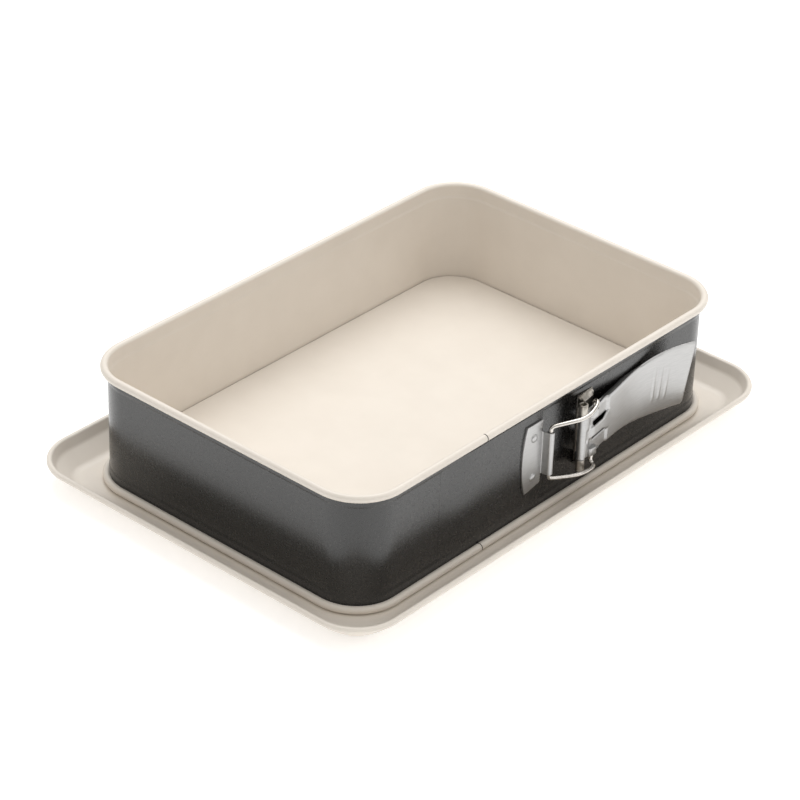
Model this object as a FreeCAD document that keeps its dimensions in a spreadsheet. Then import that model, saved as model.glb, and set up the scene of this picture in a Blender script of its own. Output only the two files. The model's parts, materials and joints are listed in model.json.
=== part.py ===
import FreeCAD, Part
import math
import os
import Sketcher
from FreeCAD import Placement, Rotation, Vector

# Rectangular springform pan.  Millimetres.  The origin is the centre of the base tray's
# underside, +X runs along the long side, +Z is up and the clasp sits on the -Y wall.
#
# Pieces: a base tray with a raised floor, a spring ring in two arms that opens at a seam in
# the -Y wall, and an over-centre clasp.  The catch arm carries a riveted plate whose rolled
# eye holds the wire bail; the lever arm carries a riveted bracket whose knuckles hold the
# hinge pin that the lever turns on.  The bail's two ends sit in sockets on the lever.

SIZES = {
    # ring
    "wall_length": 282.0,      # over the outside of the wall
    "wall_width": 186.0,
    "wall_corner": 24.0,       # outside corner radius
    "wall_sheet": 0.65,
    "ring_top": 69.8,          # top of the rolled rim
    "ring_foot": 1.2,          # underside of the rolled foot
    "rim_roll": 4.4,           # roll diameters
    "foot_roll": 4.2,
    "seam_place": -53.0,       # where the ring opens, along the -Y wall
    "seam_gap": 0.3,
    "flex_gap": 0.2,           # joint between the two arms at the back corner
    "flap_end": -7.3,          # the catch arm's flap overlaps the lever arm to here
    "flap_gap": 0.35,
    "flap_low": 7.0,
    "flap_high": 63.6,
    "flap_root": 4.0,          # the flap's footing on the catch arm, before the seam
    "flap_slant": 1.0,         # slope of the footing's outer corner
    # base tray
    "tray_length": 330.8,      # over the rolled lip
    "tray_width": 231.4,
    "tray_corner": 25.0,       # radius of the lip roll's centre line
    "tray_sheet": 0.9,
    "lip_top": 14.0,
    "lip_roll": 3.2,
    "brim_start": 13.0,        # the brim slopes up from here, measured in from the roll
    "brim_end": 3.4,           # and turns up into the lip here
    "brim_rise": 8.2,
    "brim_toe_shift": 0.3,     # the sheet's thickness carried through the two bends
    "brim_heel_in": 0.73,
    "brim_heel_down": 0.57,
    "floor_top": 11.4,
    "floor_gap": 0.35,         # clearance between raised floor and wall
    "floor_edge": 1.0,         # rounding of the raised floor's edge
    # clasp, all of it mirrored about clasp_middle
    "clasp_middle": 38.0,
    "eye_place_x": -4.8,       # axis of the catch plate's eye
    "eye_place_y": -98.0,
    "eye_bore": 2.36,
    "eye_outside": 4.0,
    "eye_half": 12.4,
    "plate_sheet": 1.0,
    "plate_half": 19.8,
    "plate_reach": 18.0,       # from the eye's axis to the plate's bowed edge
    "plate_bow": 3.0,
    "plate_corner": 3.0,       # slope of the plate's lower corner
    "wire": 2.2,
    "bail_half": 14.4,         # half the crossbar
    "bail_spread": 20.0,       # half the spread at the lever
    "bail_tip": 11.7,          # half the distance between the wire's two tips
    "bail_crown_y": -105.8,    # the arms bow out to here, past the hinge
    "bail_crown_x": 9.8,
    "bail_crown_half": 15.8,
    "bail_shoulder_y": -105.6,
    "bail_shoulder_x": 20.5,
    "bail_shoulder_half": 18.2,
    "bail_hook_bend": 3.2,     # bend radii of the wire's centre line
    "bail_arm_bend": 6.0,
    "bail_eye_bend": 1.9,
    "socket_place_x": 27.4,    # axis of the bail's ends in the lever
    "socket_place_y": -100.5,
    "hinge_place_x": 18.0,     # axis of the lever
    "hinge_place_y": -100.2,
    "pin_thick": 2.4,
    "pin_half": 17.8,          # the pin's ends sit back inside the knuckles
    "barrel_thick": 4.8,
    "barrel_bore": 2.5,
    "barrel_half": 12.9,
    "knuckle_low": 13.2,
    "knuckle_high": 19.6,
    "bracket_sheet": 0.9,
    "bracket_start": 4.0,      # from the hinge axis along the wall
    "bracket_end": 16.0,
    "bracket_half": 20.1,      # over the two ears
    "ear_start": 2.8,
    "ear_end": 15.5,
    "ear_depth": 4.8,
    "rivet_shank": 2.6,        # all four rivets are alike
    "rivet_head": 4.6,
    "rivet_rise": 0.9,
    "catch_rivet_half": 11.6,
    "catch_rivet_reach": 9.4,  # from the eye's axis
    "bracket_rivet_half": 8.0,
    "bracket_rivet_reach": 8.5,
    # lever
    "lever_sheet": 1.0,
    "lever_slope": 8.97,       # degrees the neck leans towards the wall
    "lever_straight": 38.1,    # length of the straight neck
    "lever_curve": 100.0,      # radius of the finger tab
    "lever_tip": 90.3,         # from the hinge axis to the tip
    "barrel_shoulder": 3.5,    # the outline steps out to the neck between these
    "neck_shoulder": 4.5,
    "neck_half": 13.8,
    "flare_start": 32.5,       # the neck widens from here to the tip
    "flare_middle": 54.2,
    "flare_middle_half": 16.6,
    "flare_end": 72.2,
    "flare_end_half": 18.8,
    "tip_half": 19.4,
    "tip_corner": 2.5,
    "socket_low": 9.0,
    "socket_floor": 11.2,
    "socket_wall": 0.8,
    "slot_half": 1.75,         # the socket is a slot, for the wire's travel
    "slot_travel": 2.7,
    "window_low": 3.0,
    "window_high": 5.4,
    "window_start": 9.0,
    "window_end": 22.0,
    "window_point": 4.0,       # length of the window's sloping end
    # shared
    "cut_past": 2.0,           # how far a cut runs on beyond the material
}


class Size:
    """A number together with the spreadsheet expression that gives it."""

    def __init__(self, value, text):
        self.value = value
        self.text = text

    @staticmethod
    def of(other):
        return other if isinstance(other, Size) else Size(float(other), repr(float(other)))

    def joined(self, sign, other, value):
        return Size(value, "(%s %s %s)" % (self.text, sign, other.text))

    def __add__(self, other):
        other = Size.of(other)
        return self.joined("+", other, self.value + other.value)

    def __sub__(self, other):
        other = Size.of(other)
        return self.joined("-", other, self.value - other.value)

    def __mul__(self, other):
        other = Size.of(other)
        return self.joined("*", other, self.value * other.value)

    def __truediv__(self, other):
        other = Size.of(other)
        return self.joined("/", other, self.value / other.value)

    def __neg__(self):
        return Size(-self.value, "(-1 * %s)" % self.text)


doc = FreeCAD.newDocument("springform_pan")
sheet = doc.addObject("Spreadsheet::Sheet", "Sizes")
for row, (alias, number) in enumerate(SIZES.items(), start=1):
    cell = "A%d" % row
    sheet.set(cell, str(number))
    sheet.setAlias(cell, alias)
doc.recompute()


def size(alias):
    return Size(float(sheet.get(alias)), "Sizes.%s" % alias)


def bind(thing, path, amount):
    """Tie one property to the spreadsheet."""
    thing.setExpression(path, Size.of(amount).text)


# ---------------------------------------------------------------- bodies and sketches

def new_body(name, x=0.0, y=0.0, z=0.0):
    body = doc.addObject("PartDesign::Body", name)
    body.Label = name
    body.Placement = Placement(Vector(0, 0, 0), Rotation())
    for axis, amount in (("x", x), ("y", y), ("z", z)):
        bind(body, "Placement.Base.%s" % axis, amount)
    return body


def new_sketch(body, name, role, lift=0.0):
    """A sketch on one of the body's own origin planes, lifted along that plane's normal."""
    sketch = body.newObject("Sketcher::SketchObject", body.Label + "_" + name)
    plane = [item for item in body.Origin.OriginFeatures if item.Role == role][0]
    sketch.AttachmentSupport = [(plane, "")]
    sketch.MapMode = "FlatFace"
    bind(sketch, "AttachmentOffset.Base.z", lift)
    return sketch


def pin_point(sketch, element, end, point, axes="XY"):
    """Hold one point of a sketch element at a pair of sizes."""
    for axis, amount in zip("XY", point):
        if axis in axes:
            amount = Size.of(amount)
            index = sketch.addConstraint(
                Sketcher.Constraint("Distance" + axis, -1, 1, element, end, amount.value))
            sketch.setExpression("Constraints[%d]" % index, amount.text)


def vector(point):
    return Vector(Size.of(point[0]).value, Size.of(point[1]).value, 0)


def draw_path(sketch, start, steps, closed=False):
    """Lines and arcs from point to point.  A step is (point,) for a line, or
    (point, centre, turn) for an arc, where turn is +1 for anticlockwise."""
    here = start
    for number, step in enumerate(steps):
        target = step[0]
        if len(step) == 1:
            element = sketch.addGeometry(Part.LineSegment(vector(here), vector(target)))
            begin, finish = 1, 2
        else:
            centre, turn = vector(step[1]), step[2]
            a, b = (vector(here), vector(target)) if turn > 0 else (vector(target), vector(here))
            radius = (a - centre).Length
            middle = (a - centre) + (b - centre)
            middle = centre + middle.normalize() * radius
            element = sketch.addGeometry(Part.Arc(a, middle, b))
            begin, finish = (1, 2) if turn > 0 else (2, 1)
            chord = b - a
            across = "Y" if abs(chord.x) > abs(chord.y) else "X"
            pin_point(sketch, element, 3, step[1], across)
        if number == 0:
            pin_point(sketch, element, begin, start)
            opening = (element, begin)
        else:
            sketch.addConstraint(
                Sketcher.Constraint("Coincident", last[0], last[1], element, begin))
        if closed and number == len(steps) - 1:
            sketch.addConstraint(
                Sketcher.Constraint("Coincident", element, finish, opening[0], opening[1]))
        else:
            pin_point(sketch, element, finish, target)
        last = (element, finish)
        here = target


def draw_outline(sketch, corners):
    """A closed polygon through the corners."""
    draw_path(sketch, corners[0], [(corner,) for corner in corners[1:] + corners[:1]], True)


def draw_circle(sketch, centre, across):
    across = Size.of(across)
    element = sketch.addGeometry(Part.Circle(vector(centre), Vector(0, 0, 1), across.value / 2))
    pin_point(sketch, element, 3, centre)
    index = sketch.addConstraint(Sketcher.Constraint("Diameter", element, across.value))
    sketch.setExpression("Constraints[%d]" % index, across.text)


def draw_tube(sketch, centre, across, thick):
    """The section of a rolled edge: a ring of sheet with nothing inside."""
    draw_circle(sketch, centre, across)
    draw_circle(sketch, centre, across - thick * 2)


def draw_rounded(sketch, half_x, half_y, radius):
    """A rectangle about the origin with round corners, anticlockwise from the -Y side."""
    inner_x = half_x - radius
    inner_y = half_y - radius
    draw_path(sketch, (-inner_x, -half_y), [
        ((inner_x, -half_y),),
        ((half_x, -inner_y), (inner_x, -inner_y), 1),
        ((half_x, inner_y),),
        ((inner_x, half_y), (inner_x, inner_y), 1),
        ((-inner_x, half_y),),
        ((-half_x, inner_y), (-inner_x, inner_y), 1),
        ((-half_x, -inner_y),),
        ((-inner_x, -half_y), (-inner_x, -inner_y), 1),
    ], True)


# ---------------------------------------------------------------- features

def feature(body, kind, name, profile):
    made = body.newObject("PartDesign::" + kind, body.Label + "_" + name)
    made.Profile = profile
    return made


def pad(body, name, sketch, length, symmetric=False, reverse=False):
    made = feature(body, "Pad", name, sketch)
    made.Midplane = symmetric
    made.Reversed = reverse
    bind(made, "Length", length)
    doc.recompute()
    return made


def pocket(body, name, sketch, length, symmetric=False, reverse=False):
    before = body.Shape.Volume
    made = feature(body, "Pocket", name, sketch)
    made.Midplane = symmetric
    made.Reversed = reverse
    bind(made, "Length", length)
    doc.recompute()
    if body.Shape.Volume >= before - 1e-6:
        raise RuntimeError("%s_%s removes nothing" % (body.Label, name))
    return made


def pipe(body, name, profile, spine):
    made = feature(body, "AdditivePipe", name, profile)
    count = spine.GeometryCount
    made.Spine = (spine, ["Edge%d" % (index + 1) for index in range(count)])
    doc.recompute()
    return made


def loft(body, kind, name, sections):
    made = feature(body, kind, name, sections[0])
    made.Sections = sections[1:]
    made.Ruled = True
    doc.recompute()
    return made


def round_edges(body, name, radius, chosen):
    """Fillet the edges that the test picks out."""
    solid = body.Tip
    edges = ["Edge%d" % (index + 1) for index, edge in enumerate(solid.Shape.Edges)
             if chosen(edge.BoundBox)]
    made = body.newObject("PartDesign::Fillet", body.Label + "_" + name)
    made.Base = (solid, edges)
    bind(made, "Radius", radius)
    doc.recompute()
    return made


# ---------------------------------------------------------------- base tray

def make_base_tray():
    body = new_body("base_tray")
    sheet_thick = size("tray_sheet")
    roll = size("lip_roll")
    roll_x = (size("tray_length") - roll) / 2
    roll_y = (size("tray_width") - roll) / 2
    roll_z = size("lip_top") - roll / 2
    corner = size("tray_corner")
    face = roll / 2
    start, end = size("brim_start"), size("brim_end")
    rise = size("brim_rise")

    def section(name, lift, inset):
        sketch = new_sketch(body, name, "XY_Plane", lift)
        draw_rounded(sketch, roll_x - inset, roll_y - inset, corner - inset)
        return sketch

    outside = [section("brim_low", 0.0, start - size("brim_toe_shift")),
               section("brim_heel", rise - size("brim_heel_down"), end - size("brim_heel_in")),
               section("brim_high", roll_z, face - sheet_thick)]
    loft(body, "AdditiveLoft", "brim", outside)
    inside = [section("well_low", sheet_thick, start),
              section("well_heel", rise, end),
              section("well_high", roll_z, face)]
    loft(body, "SubtractiveLoft", "well", inside)

    spine = section("roll_path", roll_z, 0.0)
    bead = new_sketch(body, "roll_section", "YZ_Plane", -(roll_x - corner))
    draw_circle(bead, (-roll_y, roll_z), roll)
    pipe(body, "roll", bead, spine)

    reach = size("wall_sheet") + size("floor_gap")
    half_x = size("wall_length") / 2 - reach
    half_y = size("wall_width") / 2 - reach
    bend = size("wall_corner") - reach
    floor_top = size("floor_top")
    raised = new_sketch(body, "raised_outline", "XY_Plane")
    draw_rounded(raised, half_x, half_y, bend)
    pad(body, "raised_floor", raised, floor_top)
    hollow = new_sketch(body, "hollow_outline", "XY_Plane")
    draw_rounded(hollow, half_x - sheet_thick, half_y - sheet_thick, bend - sheet_thick)
    pocket(body, "hollow", hollow, floor_top - sheet_thick, reverse=True)
    top = floor_top.value
    round_edges(body, "floor_edge", size("floor_edge"),
                lambda box: abs(box.ZMin - top) < 1e-4 and abs(box.ZMax - top) < 1e-4)
    return body


# ---------------------------------------------------------------- spring ring

WALL_X = size("wall_length") / 2
WALL_Y = size("wall_width") / 2
CORNER_X = WALL_X - size("wall_corner")
CORNER_Y = WALL_Y - size("wall_corner")
RIM_Z = size("ring_top") - size("rim_roll") / 2
FOOT_Z = size("ring_foot") + size("foot_roll") / 2


def lever_arm_route(out):
    """From the seam round the +X end to the back corner, `out` beyond the wall's face."""
    x, y = WALL_X + out, WALL_Y + out
    start = (size("seam_place"), -y)
    steps = [((CORNER_X, -y),),
             ((x, -CORNER_Y), (CORNER_X, -CORNER_Y), 1),
             ((x, CORNER_Y),),
             ((CORNER_X, y), (CORNER_X, CORNER_Y), 1),
             ((-CORNER_X + size("flex_gap"), y),)]
    return start, steps


def catch_arm_route(out):
    """From the back corner round the -X end to the seam."""
    x, y = WALL_X + out, WALL_Y + out
    start = (-CORNER_X, y)
    steps = [((-x, CORNER_Y), (-CORNER_X, CORNER_Y), 1),
             ((-x, -CORNER_Y),),
             ((-CORNER_X, -y), (-CORNER_X, -CORNER_Y), 1),
             ((size("seam_place") - size("seam_gap"), -y),)]
    return start, steps


def backwards(start, steps):
    """The same route from its far end."""
    points = [start] + [step[0] for step in steps]
    turned = []
    for number in range(len(steps) - 1, -1, -1):
        step = steps[number]
        if len(step) == 1:
            turned.append((points[number],))
        else:
            turned.append((points[number], step[1], -step[2]))
    return points[-1], turned


def make_arm(name, route, start_x):
    """One arm of the ring: a thin upright band with a roll along its rim and its foot."""
    body = new_body(name)
    strip = new_sketch(body, "strip", "XY_Plane", FOOT_Z)
    start, steps = route(Size.of(0.0))
    inner_start, inner_steps = backwards(*route(-size("wall_sheet")))
    draw_path(strip, start, steps + [(inner_start,)] + inner_steps + [(start,)], True)
    pad(body, "wall", strip, RIM_Z - FOOT_Z)
    for label, roll, height in (("rim", size("rim_roll"), RIM_Z),
                                ("foot", size("foot_roll"), FOOT_Z)):
        out = roll / 2 - size("wall_sheet")
        spine = new_sketch(body, label + "_path", "XY_Plane", height)
        start, steps = route(out)
        draw_path(spine, start, steps)
        ring = new_sketch(body, label + "_ring", "YZ_Plane", start_x)
        draw_tube(ring, (start[1], height), roll, size("wall_sheet"))
        pipe(body, label, ring, spine)
    return body


def drill_front(body, name, places):
    """Rivet holes through the -Y wall of a ring arm, started clear outside it."""
    clear = size("cut_past")
    sketch = new_sketch(body, name, "XZ_Plane", WALL_Y + clear)
    for place in places:
        draw_circle(sketch, place, size("rivet_shank"))
    pocket(body, name + "_holes", sketch, clear + size("wall_sheet") * 2)


def mirrored_heights(half):
    return [size("clasp_middle") + half, size("clasp_middle") - half]


def make_lever_arm():
    body = make_arm("ring_lever_side", lever_arm_route, size("seam_place"))
    across = size("hinge_place_x") + size("bracket_rivet_reach")
    drill_front(body, "bracket", [(across, height)
                for height in mirrored_heights(size("bracket_rivet_half"))])
    return body


def make_catch_arm():
    """The catch arm also has the flap that overlaps the lever arm's wall."""
    body = make_arm("ring_catch_side", catch_arm_route, -CORNER_X)
    seam = size("seam_place") - size("seam_gap")
    inner = -WALL_Y - size("flap_gap")
    outer = inner - size("wall_sheet")
    flap = new_sketch(body, "flap_outline", "XY_Plane", size("flap_low"))
    root = seam - size("flap_root")
    draw_outline(flap, [(root, -WALL_Y), (seam, -WALL_Y), (seam, inner),
                        (size("flap_end"), inner), (size("flap_end"), outer),
                        (root + size("flap_slant"), outer)])
    pad(body, "flap", flap, size("flap_high") - size("flap_low"))
    across = size("eye_place_x") - size("catch_rivet_reach")
    drill_front(body, "catch", [(across, height)
                for height in mirrored_heights(size("catch_rivet_half"))])
    return body


# ---------------------------------------------------------------- catch plate and rivets

FLAP_FACE = WALL_Y + size("flap_gap") + size("wall_sheet")


def make_catch_plate():
    """A bowed plate whose straight edge turns outward and rolls into an eye."""
    body = new_body("catch_plate", size("eye_place_x"), size("eye_place_y"),
                    size("clasp_middle"))
    back = -FLAP_FACE - size("eye_place_y")
    thick = size("plate_sheet")
    half = size("plate_half")
    reach = size("plate_reach")
    eye = size("eye_outside")
    outline = new_sketch(body, "plate_outline", "XZ_Plane", thick - back)
    bow = size("plate_bow")
    # the bowed edge is an arc whose sagitta is the bow
    centre_x = -reach + (half * half + bow * bow) / (bow * 2)
    right = -(eye / 2)
    draw_path(outline, (-reach + bow, -half), [
        ((right, -half + size("plate_corner")),),
        ((right, half),),
        ((-reach + bow, half),),
        ((-reach + bow, -half), (centre_x, 0.0), 1)], True)
    pad(body, "plate", outline, thick, reverse=True)
    tab_thick = (eye - size("eye_bore")) / 2
    tab = new_sketch(body, "tab_outline", "XY_Plane")
    draw_outline(tab, [(right, 0.0), (right + tab_thick, 0.0), (right + tab_thick, back),
                       (right, back)])
    pad(body, "tab", tab, size("eye_half") * 2, symmetric=True)
    roll = new_sketch(body, "eye_ring", "XY_Plane")
    draw_circle(roll, (0.0, 0.0), eye)
    pad(body, "eye", roll, size("eye_half") * 2, symmetric=True)
    bore = new_sketch(body, "eye_bore", "XY_Plane")
    draw_circle(bore, (0.0, 0.0), size("eye_bore"))
    pocket(body, "bore", bore, size("plate_half") * 2, symmetric=True)
    holes = new_sketch(body, "rivet_places", "XZ_Plane", thick - back)
    for height in (size("catch_rivet_half"), -size("catch_rivet_half")):
        draw_circle(holes, (-size("catch_rivet_reach"), height), size("rivet_shank"))
    pocket(body, "rivet_holes", holes, thick)
    return body


def make_rivet(name, across, face, height, grip):
    """A rivet with a low domed head: face is the y of the plate it holds, grip its stack."""
    body = new_body(name, across, face, height)
    profile = new_sketch(body, "profile", "XY_Plane")
    head = size("rivet_head") / 2
    shank = size("rivet_shank") / 2
    rise = size("rivet_rise")
    # the dome is an arc whose sagitta is the rise
    dome_y = -rise + (head * head + rise * rise) / (rise * 2)
    draw_path(profile, (Size.of(0.0), -rise), [
        ((head, 0.0), (0.0, dome_y), 1),
        ((shank, 0.0),),
        ((shank, grip),),
        ((Size.of(0.0), grip),),
        ((Size.of(0.0), -rise),)], True)
    made = feature(body, "Revolution", "turned", profile)
    made.ReferenceAxis = (profile, ["V_Axis"])
    made.Angle = 360.0
    doc.recompute()
    return body


def make_rivets():
    catch_x = size("eye_place_x") - size("catch_rivet_reach")
    catch_face = -FLAP_FACE - size("plate_sheet")
    catch_grip = size("plate_sheet") + size("wall_sheet")
    bracket_x = size("hinge_place_x") + size("bracket_rivet_reach")
    bracket_face = -WALL_Y - size("bracket_sheet")
    bracket_grip = size("bracket_sheet") + size("wall_sheet")
    catch_heights = mirrored_heights(size("catch_rivet_half"))
    bracket_heights = mirrored_heights(size("bracket_rivet_half"))
    for place, high, low in (("upper", catch_heights[0], bracket_heights[0]),
                             ("lower", catch_heights[1], bracket_heights[1])):
        yield make_rivet("catch_rivet_" + place, catch_x, catch_face, high, catch_grip)
        yield make_rivet("bracket_rivet_" + place, bracket_x, bracket_face, low, bracket_grip)


# ---------------------------------------------------------------- hinge bracket and pin

def make_hinge_bracket():
    """Back plate, a slanting web and a knuckle at each end of the hinge, and two ears."""
    body = new_body("hinge_bracket", size("hinge_place_x"), size("hinge_place_y"),
                    size("clasp_middle"))
    wall = -WALL_Y - size("hinge_place_y")
    thick = size("bracket_sheet")
    radius = size("barrel_thick") / 2
    low, high = size("knuckle_low"), size("knuckle_high")
    plate = new_sketch(body, "plate_outline", "XY_Plane")
    footing = size("bracket_start")
    draw_outline(plate, [(footing, wall - thick), (size("bracket_end"), wall - thick),
                         (size("bracket_end"), wall), (footing, wall)])
    pad(body, "plate", plate, high * 2, symmetric=True)
    for label, lift, up in (("upper", low, False), ("lower", -low, True)):
        web = new_sketch(body, label + "_web", "XY_Plane", lift)
        draw_outline(web, [(radius - thick, 0.0), (radius, 0.0), (footing + thick, wall),
                           (footing, wall)])
        pad(body, label + "_web_pad", web, high - low, reverse=up)
        knuckle = new_sketch(body, label + "_knuckle", "XY_Plane", lift)
        draw_circle(knuckle, (0.0, 0.0), radius * 2)
        pad(body, label + "_knuckle_pad", knuckle, high - low, reverse=up)
    bore = new_sketch(body, "pin_bore", "XY_Plane")
    draw_circle(bore, (0.0, 0.0), size("pin_thick"))
    pocket(body, "bore", bore, high * 2 + size("cut_past"), symmetric=True)
    start, end = size("ear_start"), size("ear_end")
    depth = size("ear_depth")
    top = size("bracket_half")
    for label, lift, up in (("upper", top - thick, False), ("lower", thick - top, True)):
        ear = new_sketch(body, label + "_ear", "XY_Plane", lift)
        draw_outline(ear, [(start, wall - depth), (end, wall - depth / 2), (end, wall),
                           (start, wall)])
        pad(body, label + "_ear_pad", ear, thick, reverse=up)
    holes = new_sketch(body, "rivet_places", "XZ_Plane", -(wall - thick))
    for height in (size("bracket_rivet_half"), -size("bracket_rivet_half")):
        draw_circle(holes, (size("bracket_rivet_reach"), height), size("rivet_shank"))
    pocket(body, "rivet_holes", holes, thick)
    return body


def make_hinge_pin():
    body = new_body("hinge_pin", size("hinge_place_x"), size("hinge_place_y"),
                    size("clasp_middle"))
    section = new_sketch(body, "section", "XY_Plane")
    draw_circle(section, (0.0, 0.0), size("pin_thick"))
    pad(body, "shaft", section, size("pin_half") * 2, symmetric=True)
    return body


# ---------------------------------------------------------------- lever

def make_lever():
    """Rolled barrel, straight neck leaning to the wall, curved finger tab, two sockets."""
    body = new_body("lever", size("hinge_place_x"), size("hinge_place_y"),
                    size("clasp_middle"))
    slope = math.radians(SIZES["lever_slope"])
    cosine = Size(math.cos(slope), "cos(Sizes.lever_slope * 1deg)")
    sine = Size(math.sin(slope), "sin(Sizes.lever_slope * 1deg)")
    radius = size("barrel_thick") / 2
    thick = size("lever_sheet")
    curve = size("lever_curve")
    straight = size("lever_straight")
    tip = size("lever_tip")

    def neck(along, depth):
        """A point `along` the neck, `depth` below its outer face."""
        return (sine * radius + cosine * along - sine * depth,
                -(cosine * radius) + sine * along + cosine * depth)

    centre = neck(straight, -curve)

    def tab_end(depth):
        """The finger tab's end, on the arc `depth` below the outer face."""
        rise = (curve + depth) * (curve + depth) - (tip - centre[0]) * (tip - centre[0])
        return (tip, centre[1] + Size(rise.value ** 0.5, "sqrt(%s)" % rise.text))

    section = new_sketch(body, "section", "XY_Plane")
    zero = Size.of(0.0)
    draw_path(section, neck(zero, zero), [
        (neck(straight, zero),),
        (tab_end(zero), centre, -1),
        (tab_end(thick),),
        (neck(straight, thick), centre, 1),
        (neck(zero, thick),),
        (neck(zero, zero),)], True)
    pad(body, "sheet", section, size("tip_half") * 2, symmetric=True)

    # trim the sheet to the lever's outline, above and below
    through = tip / 2
    neck_half = size("neck_half")
    tip_half = size("tip_half")
    clear = size("cut_past")
    before, beyond, above = -(radius + clear), tip + clear, tip_half + clear
    for label, side in (("upper", 1.0), ("lower", -1.0)):
        trim = new_sketch(body, label + "_trim", "XZ_Plane")
        draw_outline(trim, [(x, z * side) for x, z in (
            (before, size("barrel_half")),
            (size("barrel_shoulder"), size("barrel_half")),
            (size("neck_shoulder"), neck_half),
            (size("flare_start"), neck_half),
            (size("flare_middle"), size("flare_middle_half")),
            (size("flare_end"), size("flare_end_half")),
            (tip - size("tip_corner"), tip_half),
            (tip, tip_half - size("tip_corner")),
            (beyond, tip_half - size("tip_corner")),
            (beyond, above),
            (before, above))])
        pocket(body, label + "_cut", trim, through, symmetric=True)

    barrel = new_sketch(body, "barrel_ring", "XY_Plane")
    draw_circle(barrel, (0.0, 0.0), size("barrel_thick"))
    pad(body, "barrel", barrel, size("barrel_half") * 2, symmetric=True)
    bore = new_sketch(body, "barrel_bore", "XY_Plane")
    draw_circle(bore, (0.0, 0.0), size("barrel_bore"))
    pocket(body, "bore", bore, size("barrel_half") * 2 + clear, symmetric=True)

    socket_x = size("socket_place_x") - size("hinge_place_x")
    socket_y = size("socket_place_y") - size("hinge_place_y")
    travel = size("slot_travel")

    def oblong(sketch, half):
        left = socket_x - travel
        draw_path(sketch, (left, socket_y - half), [
            ((socket_x, socket_y - half),),
            ((socket_x + half, socket_y), (socket_x, socket_y), 1),
            ((socket_x, socket_y + half), (socket_x, socket_y), 1),
            ((left, socket_y + half),),
            ((left - half, socket_y), (left, socket_y), 1),
            ((left, socket_y - half), (left, socket_y), 1)], True)

    low, floor = size("socket_low"), size("socket_floor")
    for label, side in (("upper", 1.0), ("lower", -1.0)):
        boss = new_sketch(body, label + "_boss", "XY_Plane", low * side)
        oblong(boss, size("slot_half") + size("socket_wall"))
        pad(body, label + "_socket", boss, neck_half - low, reverse=side < 0)
        slot = new_sketch(body, label + "_slot", "XY_Plane", floor * side)
        oblong(slot, size("slot_half"))
        pocket(body, label + "_slot_cut", slot, neck_half - floor + clear, reverse=side > 0)
        window = new_sketch(body, label + "_window", "XZ_Plane")
        draw_outline(window, [(x, z * side) for x, z in (
            (size("window_start"), size("window_low")),
            (size("window_end") - size("window_point"), size("window_low")),
            (size("window_end"), size("window_high")),
            (size("window_start"), size("window_high")))])
        pocket(body, label + "_window_cut", window, through, symmetric=True)
    return body


# ---------------------------------------------------------------- bail

def rounded_wire(points, radii):
    """Straight runs through the points, joined by tangent arcs."""
    edges = []
    here = points[0]
    for corner, following, radius in zip(points[1:-1], points[2:], radii):
        back = (corner - here).normalize()
        ahead = (following - corner).normalize()
        half = back.getAngle(ahead) / 2
        cut = radius * math.tan(half)
        begin = corner - back * cut
        end = corner + ahead * cut
        crown = corner + (ahead - back).normalize() * (radius / math.cos(half) - radius)
        edges.append(Part.LineSegment(here, begin).toShape())
        edges.append(Part.Arc(begin, crown, end).toShape())
        here = end
    edges.append(Part.LineSegment(here, points[-1]).toShape())
    return Part.Wire(edges)


def make_bail():
    """A bent wire: a crossbar in the eye, two arms bowed round the hinge, two hooked ends."""
    middle = SIZES["clasp_middle"]

    def bend(place, half, radius=None):
        """One corner of the wire's centre line: its place, half its spread, its bend."""
        return ((SIZES[place + "_x"], SIZES[place + "_y"]), SIZES[half],
                SIZES[radius] if radius else None)

    half_arm = [bend("socket_place", "bail_tip"),
                bend("socket_place", "bail_spread", "bail_hook_bend"),
                bend("bail_shoulder", "bail_shoulder_half", "bail_arm_bend"),
                bend("bail_crown", "bail_crown_half", "bail_arm_bend"),
                bend("eye_place", "bail_half", "bail_eye_bend")]
    points = [Vector(x, y, middle + rise) for (x, y), rise, _ in half_arm]
    points += [Vector(x, y, middle - rise) for (x, y), rise, _ in reversed(half_arm)]
    radii = [radius for _, _, radius in half_arm[1:]]
    radii += radii[::-1]
    route = rounded_wire(points, radii)
    section = Part.Wire([Part.makeCircle(SIZES["wire"] / 2, points[0], Vector(0, 0, 1))])
    bail = doc.addObject("Part::Feature", "bail")
    bail.Label = "bail"
    bail.Shape = route.makePipeShell([section], True, False)
    bail.Placement = Placement(Vector(0, 0, 0), Rotation())
    return bail


# ---------------------------------------------------------------- build, check, write

def main():
    nodes = [make_base_tray(), make_lever_arm(), make_catch_arm(), make_catch_plate()]
    nodes += list(make_rivets())
    nodes += [make_hinge_bracket(), make_hinge_pin(), make_lever(), make_bail()]
    doc.recompute()
    for item in doc.Objects:
        if "Invalid" in item.State or "Error" in item.State:
            raise RuntimeError("%s did not recompute: %s" % (item.Name, item.State))
    os.makedirs("parts", exist_ok=True)
    for node in nodes:
        shape = node.Shape
        if shape.isNull() or not shape.isValid():
            raise RuntimeError("%s has no valid shape" % node.Label)
        box = shape.BoundBox
        print("%-22s %6.1f cm3  solids %d  x %.2f %.2f  y %.2f %.2f  z %.2f %.2f" % (
            node.Label, shape.Volume / 1000, len(shape.Solids), box.XMin, box.XMax,
            box.YMin, box.YMax, box.ZMin, box.ZMax))
        shape.exportStep(os.path.join("parts", node.Label + ".step"))


main()
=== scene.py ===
import json
import math

import bmesh
import bpy
from mathutils import Matrix, Vector


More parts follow.
